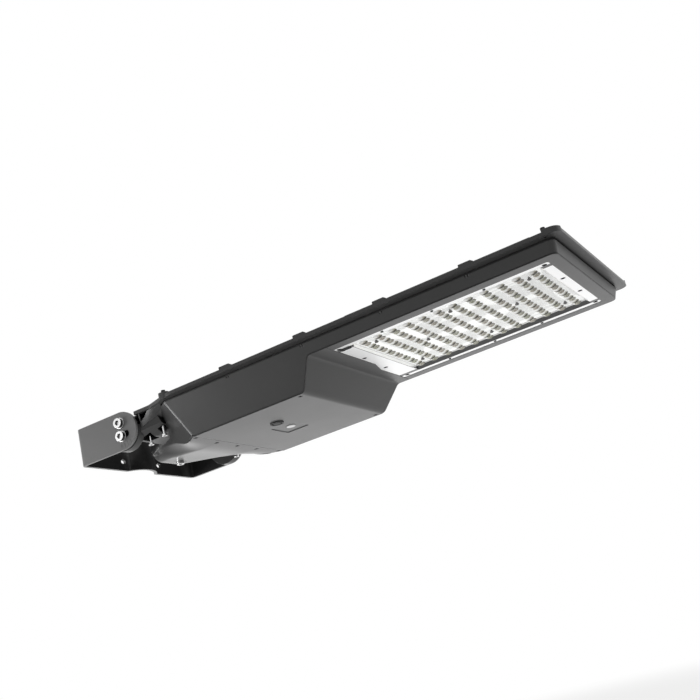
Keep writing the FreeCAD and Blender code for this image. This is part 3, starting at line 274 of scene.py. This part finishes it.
floor_finish = Finish("floor_paper", Roughness=0.9, Base_Color=FLOOR_PAPER)
reach = floor_finish.vectors("LENGTH", floor_finish.place(), output=1)
fade = floor_finish.span(reach, FADE_START, FADE_END, NEAR_GLOW, 1.0)
glow = floor_finish.node("ShaderNodeEmission", None, {"Color": (1, 1, 1, 1), "Strength": 1.0})
mixed = floor_finish.node("ShaderNodeMixShader", None, {
    0: seen_directly(floor_finish) * fade, 1: Wire(floor_finish, floor_finish.shader.outputs[0]), 2: glow})
floor_finish.tree.links.new(mixed.socket, floor_finish.tree.nodes["Material Output"].inputs["Surface"])
floor_corners = [(x * FLOOR_HALF, y * FLOOR_HALF, FLOOR_Z) for x, y in ((-1, -1), (1, -1), (1, 1), (-1, 1))]
floor = flat_sheet("studio_floor", floor_corners, floor_finish)
print("floor at", FLOOR_Z, "m")

# %% [markdown]
# Satin metal shows its shape by what it reflects. In the picture the facets that look back towards
# the pole are darker than the walls beside them, so something dark seems to have stood there. A
# black card behind the pole gives them the same darkness. The camera itself doesn't see it.

# %% The dark card
CARD_X = -1.6
CARD_Y = (-0.35, 0.95)
CARD_Z = (-0.6, 0.4)
CARD_CLOTH = (0.01, 0.01, 0.01, 1)

card_finish = Finish("card_cloth", Roughness=0.95, Base_Color=CARD_CLOTH)
card_corners = [(CARD_X, CARD_Y[y], CARD_Z[z]) for y, z in ((0, 0), (1, 0), (1, 1), (0, 1))]
card = flat_sheet("dark_card", card_corners, card_finish)
card.visible_camera = False
print("dark card at", CARD_X, "m")

# %% [markdown]
# ## The lamps
# The light on the head is soft and comes from all round, so every lamp is a wide softbox. Two of
# them do one thing only. The lamp under the head lights it but isn't mirrored in it. The edge lamp
# lights nothing and is only mirrored, as the bright line along the rounded edge of the rear facet.

# %% Lamps
def soft_lamp(name, place, target, size, level):
    """A softbox of a size in metres, turned towards a target. A face at level 1 glows white."""
    light = bpy.data.lights.new(name, "AREA")
    light.shape = "RECTANGLE"
    light.size, light.size_y = size
    light.energy = level * math.pi * light.size * light.size_y
    lamp = bpy.data.objects.new(name, light)
    lamp.location = place
    lamp.rotation_euler = (Vector(target) - Vector(place)).to_track_quat("-Z", "Y").to_euler()
    lamp.visible_camera = False
    bpy.context.scene.collection.objects.link(lamp)
    print(name, "at", place, "m, level", level)
    return lamp


HEAD_MIDDLE = (0.45, 0.0, 0.0)
BAY_REAR = (0.2, 0.0, 0.0)
NECK_MIDDLE = (0.1, 0.0, 0.0)
FACET_EDGE = (0.18, -0.13, 0.0)
UNDER_PLACE = (-0.15, 0.85, FLOOR_Z + 10 * MM)
UNDER_TARGET = (-0.15, 0.85, 0.0)

under_lamp = soft_lamp("under_lamp", UNDER_PLACE, UNDER_TARGET, (1.9, 2.2), 1.3)
under_lamp.visible_glossy = False
edge_lamp = soft_lamp("edge_lamp", (-1.04, -0.66, -0.2), FACET_EDGE, (1.0, 0.5), 10.0)
edge_lamp.visible_diffuse = False
soft_lamp("far_lamp", (-0.5, 2.2, -0.05), BAY_REAR, (2.6, 1.0), 1.05)
soft_lamp("rear_lamp", (-1.1, -1.3, -0.1), NECK_MIDDLE, (0.9, 0.9), 2.7)
soft_lamp("tip_lamp", (2.3, 0.3, 0.4), HEAD_MIDDLE, (1.4, 1.2), 0.85)
soft_lamp("top_lamp", (0.4, -0.3, 2.2), HEAD_MIDDLE, (2.0, 1.6), 2.2)

# %% [markdown]
# ## Powder coat
# The castings and the bracket are sprayed with a satin powder coat. A photograph laid over them
# would stretch round the corners, so the coat is worked out at each point. Baked powder is never
# flat: it has a fine orange peel, cloudy patches of gloss, and it thins to a paler tone where an
# edge was sharp. A fine noise lifts the surface, a coarse one varies the gloss, and the rolled
# edge gives the mask for the rims.
#
# Deep hollows are painted nearly black as shade. So is the inside of the bracket's U, where the head's shade
# falls, found by the faces that look towards its middle. They are made a dull, dark metal, because paint
# would keep a pale sheen there and a dark metal keeps none.

# %% Powder coat
COAT_EDGE = 0.9 * MM
PEEL_DEPTH = 0.3 * MM
HOLLOW_REACH = 50 * MM
HOLLOW_TONE = 0.2
INSIDE_START = 15 * MM
INSIDE_END = 40 * MM
BRACKET_MIDDLE = (0.09, 0.0, 0.0)


def powder_coat(name, tone, roughness, edge_tone, inside_of=None):
    coat = Finish(name, IOR=1.38)
    soft = coat.rounded(COAT_EDGE)
    rim = coat.rim(soft)
    cloud = coat.noise(14.0, 4.0)
    speck = coat.noise(2400.0, 1.0)
    body = coat.blend(cloud, shade(tone, 0.93), shade(tone, 1.07))
    dust = coat.blend(coat.span(speck, 0.62, 0.78) * 0.25, body, shade(tone, 1.5))
    worn = coat.blend(rim * 0.6, dust, shade(tone, edge_tone))
    # Painted shade: deep hollows are darkened in colour where neighbours close off the sky.
    painted_shade = coat.crevice(HOLLOW_REACH, 0.62, 0.12) * 0.9
    if inside_of:
        # The inside of the bracket's U is painted dark as well, as the shade of the head falls there.
        inside = coat.span(coat.facing(inside_of), INSIDE_START, INSIDE_END)
        shaded = inside * (0.95 - coat.span(cloud, 0.5, 0.75) * 0.25)
        painted_shade = coat.maths("MAXIMUM", painted_shade, shaded)
    coat.feed("Base Color", coat.blend(painted_shade, worn, shade(tone * HOLLOW_TONE)))
    coat.feed("Metallic", painted_shade)
    coat.feed("Roughness", roughness - 0.04 + cloud * 0.08 + speck * 0.03 - rim * 0.06 + painted_shade * 0.3)
    coat.relief(coat.noise(900.0, 2.0) + speck * 0.4, 0.1, PEEL_DEPTH, soft)
    return coat.material


finishes = {
    "head_casting": powder_coat("satin_dark_grey", 57, 0.31, 1.5),
    "bracket_steel": powder_coat("satin_mid_grey", 118, 0.42, 1.2, inside_of=BRACKET_MIDDLE),
}
print("powder coats:", ", ".join(finishes))

# %% [markdown]
# ## Bright sheet
# The pan round the lenses is plain rolled sheet. A mirror would be too clean: rolling leaves faint lines
# along the sheet, so a noise stretched along X varies its gloss. In the picture the leaning walls of the pan
# are a plain grey between the bright margin and the lenses, so they are painted that grey as shade, and a
# line of painted shade lies beside the fold behind the lenses. The walls are found by their distance from
# the middle line, and the fold by its place along X. The case of the driver is a duller sheet of the same
# kind, without the walls.

# %% Bright sheet
SHEET_EDGE = 0.4 * MM
LINE_DEPTH = 0.2 * MM
ROLLING_STRETCH = (4, 900, 900)
PAN_WALL_INNER = 107.1 * MM
PAN_WALL_OUTER = 116.8 * MM
PAN_WALL_SOFT = 0.2 * MM
PAN_WALL_TONE = 52
PAN_FOLD_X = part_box("lens_panel")[0].x - 0.3 * MM
PAN_FOLD_REAR = PAN_FOLD_X - 1.6 * MM
PAN_FOLD_FRONT = PAN_FOLD_X - 0.2 * MM
PAN_FOLD_SOFT = 0.4 * MM


def bright_sheet(name, tone, roughness, pan_walls=False):
    sheet = Finish(name, Metallic=1.0)
    soft = sheet.rounded(SHEET_EDGE)
    lines = sheet.noise(1.0, 3.0, ROLLING_STRETCH)
    cloud = sheet.noise(22.0, 3.0)
    plain = sheet.blend(cloud, shade(tone, 0.94), shade(tone))
    if pan_walls:
        from_middle = sheet.maths("ABSOLUTE", sheet.part_of(sheet.place(), "Y"))
        along = sheet.part_of(sheet.place(), "X")
        # Painted shade: the pan's leaning walls and a line beside the fold are coloured grey, where they
        # stand in shadow.
        wall = sheet.band(from_middle, PAN_WALL_INNER - PAN_WALL_SOFT, PAN_WALL_OUTER, PAN_WALL_SOFT)
        fold = sheet.band(along, PAN_FOLD_REAR, PAN_FOLD_FRONT, PAN_FOLD_SOFT)
        wall_shade = wall + fold * sheet.span(from_middle, PAN_WALL_INNER, PAN_WALL_INNER - PAN_FOLD_SOFT)
        sheet.feed("Metallic", 1 - wall_shade)
        plain = sheet.blend(wall_shade, plain, shade(PAN_WALL_TONE))
    sheet.feed("Base Color", plain)
    sheet.feed("Roughness", roughness - 0.05 + lines * 0.1 + cloud * 0.05)
    sheet.relief(lines, 0.06, LINE_DEPTH, soft)
    return sheet.material


finishes["bright_aluminium"] = bright_sheet("rolled_sheet", 252, 0.30, pan_walls=True)
finishes["driver_case"] = bright_sheet("case_sheet", 176, 0.38)
print("the fold of the pan is at", round(PAN_FOLD_X / MM, 1), "mm")

# %% [markdown]
# ## Fasteners
# Screws and bolts are turned steel, some bright, some blackened, and the round screws among the lenses dull.
# A fine noise stands for the turning marks, and their sockets are painted dark as shade, as any small hollow
# looks dark. The heads of the tilt bolts are knurled round the side. Cut as a shape, the knurl would cost
# many faces for a few grains of light, so its look is painted instead: the faces that look sideways only are
# painted a darker grey as the shade in its grooves, broken by lighter streaks from a noise drawn out along
# the bolt.

# %% Fasteners
SCREW_EDGE = 0.5 * MM
TURNING_DEPTH = 0.2 * MM
SOCKET_REACH = 5 * MM
SOCKET_TONE = 26
KNURL_STRETCH = (1500, 5, 1500)
KNURL_TONE = 64


def fastener_steel(name, tone, roughness, knurled=False):
    steel = Finish(name, Metallic=1.0)
    soft = steel.rounded(SCREW_EDGE)
    rim = steel.rim(soft)
    turned = steel.noise(1800.0, 2.0)
    body = steel.blend(turned, shade(tone, 0.86), shade(tone))
    if knurled:
        # Painted shade: the sides of the heads are darkened as the shade in the knurl, with lighter streaks
        # between.
        along = steel.maths("ABSOLUTE", steel.part_of(steel.flat_normal(), "Y"))
        side = steel.span(along, 0.6, 0.3)
        groove = steel.span(steel.noise(1.0, 1.0, KNURL_STRETCH), 0.42, 0.58)
        body = steel.blend(side * (1 - groove * 0.4), body, shade(KNURL_TONE))
    # Painted shade: sockets and other small hollows are darkened in colour.
    body = steel.blend(steel.crevice(SOCKET_REACH, 0.6, 0.2), body, shade(SOCKET_TONE))
    steel.feed("Base Color", body)
    steel.feed("Roughness", roughness + turned * 0.12 - rim * 0.08)
    steel.relief(turned, 0.12, TURNING_DEPTH, soft)
    return steel.material


finishes["stainless"] = fastener_steel("bright_fasteners", 225, 0.16)
finishes["dark_screw"] = fastener_steel("blackened_screws", 40, 0.4)
knurled_steel = fastener_steel("knurled_bolts", 225, 0.16, knurled=True)
dull_steel = fastener_steel("dull_screws", 120, 0.4)
own_finish = {"pivot_bolts": knurled_steel, "lock_bolts": knurled_steel, "lens_screws": dull_steel}
print("nodes with a steel of their own:", ", ".join(own_finish))

# %% [markdown]
# ## Mouldings
# Plugs, seals and the gear's cases are moulded. Moulded plastic shows the fine spark grain of its
# tool, and rubber is duller and coarser. Both are one finish with other numbers, and a little pale
# dust lies on all but the pale plastic, where it wouldn't show.

# %% Mouldings
MOULDING_EDGE = 0.5 * MM
GRAIN_DEPTH = 0.2 * MM
DUST_TONE = 150


def moulding(name, tone, roughness, grain=1500.0, strength=0.08, dust=0.1):
    plastic = Finish(name, IOR=1.46)
    soft = plastic.rounded(MOULDING_EDGE)
    spark = plastic.noise(grain, 2.0)
    cloud = plastic.noise(40.0, 3.0)
    body = plastic.blend(cloud, shade(tone, 0.92), shade(tone, 1.06))
    plastic.feed("Base Color", plastic.blend(plastic.span(spark, 0.5, 0.8) * dust, body, shade(DUST_TONE)))
    plastic.feed("Roughness", roughness + cloud * 0.06 + spark * 0.05)
    plastic.relief(spark, strength, GRAIN_DEPTH, soft)
    return plastic.material


finishes["black_rubber"] = moulding("seal_rubber", 30, 0.62, grain=900.0, strength=0.12)
finishes["black_plastic"] = moulding("black_moulding", 26, 0.5)
finishes["pale_plastic"] = moulding("pale_moulding", 196, 0.38, dust=0.0)
print("finishes so far:", len(finishes))

# %% [markdown]
# ## Board and emitters
# Behind the lenses lies a board with white lacquer over copper tracks. Folding X and Y back and
# forth draws the same short track at every lens, without a picture of the board. The domes of a
# real panel throw light back onto the board. The thin film that stands for the panel here doesn't,
# so the lacquer has a faint glow of its own. An emitter is yellow phosphor, a little uneven.

# %% Board and emitters
BOARD_EDGE = 0.3 * MM
LACQUER_GLOW = 0.16
TRACK_DEPTH = 0.08 * MM
TRACK_FOLD_X = 12.5 * MM
TRACK_FOLD_Y = 13.3 * MM
TRACK_SIDE = (1.8 * MM, 1.2 * MM)
TRACK_END = (4 * MM, 5 * MM)


def solder_mask(name):
    board = Finish(name, IOR=1.5, Emission_Strength=LACQUER_GLOW)
    fold_x = board.maths("PINGPONG", board.part_of(board.place(), "X"), TRACK_FOLD_X)
    fold_y = board.maths("PINGPONG", board.part_of(board.place(), "Y"), TRACK_FOLD_Y)
    track = board.span(fold_x, *TRACK_SIDE) * board.span(fold_y, *TRACK_END)
    board.feed("Base Color", board.blend(track * 0.5, shade((250, 251, 250)), shade((232, 235, 234))))
    board.feed("Roughness", 0.30 + board.noise(300.0, 2.0) * 0.1)
    board.relief(track, 0.2, TRACK_DEPTH, board.rounded(BOARD_EDGE))
    return board.material


def phosphor(name):
    dot = Finish(name, IOR=1.41, Roughness=0.4)
    dot.feed("Base Color", dot.blend(dot.noise(1500.0, 2.0), shade((226, 196, 92)), shade((238, 216, 130))))
    return dot.material


finishes["white_board"] = solder_mask("white_lacquer")
finishes["led_emitter"] = phosphor("yellow_phosphor")
print("finishes so far:", len(finishes))

# %% [markdown]
# ## Lens plastic
# The lens panel is clear acrylic over a white board. Where it is flat the board shows through as white. In
# each dome the light bends, so the dome looks a warm greenish grey with the dark image of the emitter's seat
# in one lobe. A true glass shader would need many samples for that, so the panel is a thin clear film over
# the board, and the bent light is painted on the domes as colour by their place in the grid: painted
# refraction, painted shade and painted reflections.
#
# First the place is turned into u and v, the distances in millimetres from the middle of the
# nearest lens, along and across the head. Every patch of a dome is then a mask in u and v, and a
# noise makes its border uneven.

# %% Where a point lies in its lens
LENSES_ALONG = 12
LENSES_ACROSS = 8
LENS_PITCH = Vector((25.0, 26.67)) * MM
LENS_MIDDLE_X = 666.2 * MM
LENS_START = Vector((LENS_MIDDLE_X - LENSES_ALONG * LENS_PITCH.x / 2, -LENSES_ACROSS * LENS_PITCH.y / 2))


def lens_cell(clear):
    """The distances u and v from the middle of the lens, and a chance value for each lens."""
    cell_x = (clear.part_of(clear.place(), "X") - LENS_START.x) / LENS_PITCH.x
    cell_y = (clear.part_of(clear.place(), "Y") - LENS_START.y) / LENS_PITCH.y
    along = clear.maths("FLOOR", cell_x)
    across = clear.maths("FLOOR", cell_y)
    u = (cell_x - along - 0.5) * LENS_PITCH.x / MM
    v = (cell_y - across - 0.5) * LENS_PITCH.y / MM
    which = clear.node("ShaderNodeCombineXYZ", None, {0: along, 1: across})
    chance = clear.node("ShaderNodeTexWhiteNoise", {"noise_dimensions": "2D"}, {"Vector": which})
    return u, v, chance


print("lens grid of", LENSES_ALONG, "by", LENSES_ACROSS, "from x", round(LENS_START.x / MM, 1), "mm")

# %% [markdown]
# The patches are painted light, laid over each other from the plain dome up: the dark line round its foot,
# the painted swirls of light, the dark crown as painted shade, the faint refracted image of the second seat,
# the dark refracted seat itself, and last two painted reflections, where the dome mirrors the sky.

# %% Lens plastic
LENS_BASE_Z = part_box("led_board")[0].z - 2.0 * MM
DOME_START = (LENS_BASE_Z - 0.2 * MM, LENS_BASE_Z - 0.9 * MM)
FOOT_START = (LENS_BASE_Z - 0.3 * MM, LENS_BASE_Z - 0.7 * MM)
FOOT_END = (LENS_BASE_Z - 2.0 * MM, LENS_BASE_Z - 1.2 * MM)
FILM_ALPHA = 0.12
DOME_ALPHA = 0.95


def lens_plastic(name):
    clear = Finish(name, IOR=1.49, Roughness=0.12, Specular_IOR_Level=0.12)
    u, v, chance = lens_cell(clear)
    z = clear.part_of(clear.place(), "Z")
    wobble = clear.noise(600.0, 2.0) - 0.5

    def ellipse(middle_u, middle_v, half_u, half_v):
        return ((u - middle_u) / half_u) ** 2 + ((v - middle_v) / half_v) ** 2

    # Every patch below is painted light in the dome: painted refraction of the seats, painted shade, and
    # painted reflections of the sky.
    dome = clear.span(z, *DOME_START)
    seat = clear.span(ellipse(1.8, -5.6, 5.2, 3.2) + wobble * 1.2, 1.8, 0.5)
    image = clear.span(ellipse(2.0, 5.0, 3.4, 2.0), 1.5, 0.4) * 0.35
    crown = clear.span(u + wobble * 2.0, 4.6, 6.6) * clear.span(v, -9.0, -5.0)
    glint = clear.span(ellipse(-4.8, 1.5, 2.2, 4.5) + wobble * 1.5, 1.4, 0.4)
    near_end = clear.span(v + u * 0.3 + wobble * 2.0, -8.2, -10.8)
    swirl = clear.span(clear.noise(640.0, 3.0), 0.40, 0.60)
    foot = clear.span(z, *FOOT_START) * clear.span(z, *FOOT_END)
    far_half = clear.span(v + wobble * 4.0, -2.0, 3.0)

    warm = clear.blend(chance, shade((132, 134, 112)), shade((150, 140, 130)))
    outlined = clear.blend(foot * far_half, warm, shade((88, 86, 82)))
    lit = clear.blend(swirl * 0.6, outlined, shade((226, 226, 218)))
    crowned = clear.blend(crown * 0.7, lit, shade((96, 95, 88)))
    imaged = clear.blend(image, crowned, shade((84, 80, 64)))
    seated = clear.blend(seat * 0.92, imaged, shade((30, 29, 20)))
    glinting = clear.blend(glint * 0.8, seated, shade(250))
    ended = clear.blend(near_end * 0.85, glinting, shade(250))
    clear.feed("Base Color", clear.blend(dome, shade(252), ended))
    clear.feed("Alpha", clear.span(dome, 0.0, 1.0, FILM_ALPHA, DOME_ALPHA))
    return clear.material


finishes["lens_plastic"] = lens_plastic("lens_acrylic")
print("the lens panel is flat at z", round(LENS_BASE_Z / MM, 1), "mm")

# %% [markdown]
# ## Dressing the solids
# Every solid already names the finish it takes, so one table of finishes dresses them all. Only
# the tilt bolts and the screws among the lenses take a steel of their own. The clear panel would
# darken the board behind it, so it casts no shadow and is left out of diffuse light.

# %% Finishes by slot
for part in frame["record"]["subparts"]:
    solid = frame["nodes"][part["node"]]
    solid.data.materials.clear()
    solid.data.materials.append(own_finish.get(part["node"], finishes[part["material_slot"]]))
frame["nodes"]["lens_panel"].visible_shadow = False
frame["nodes"]["lens_panel"].visible_diffuse = False
print("dressed", len(frame["nodes"]), "nodes from", len(finishes), "slots")
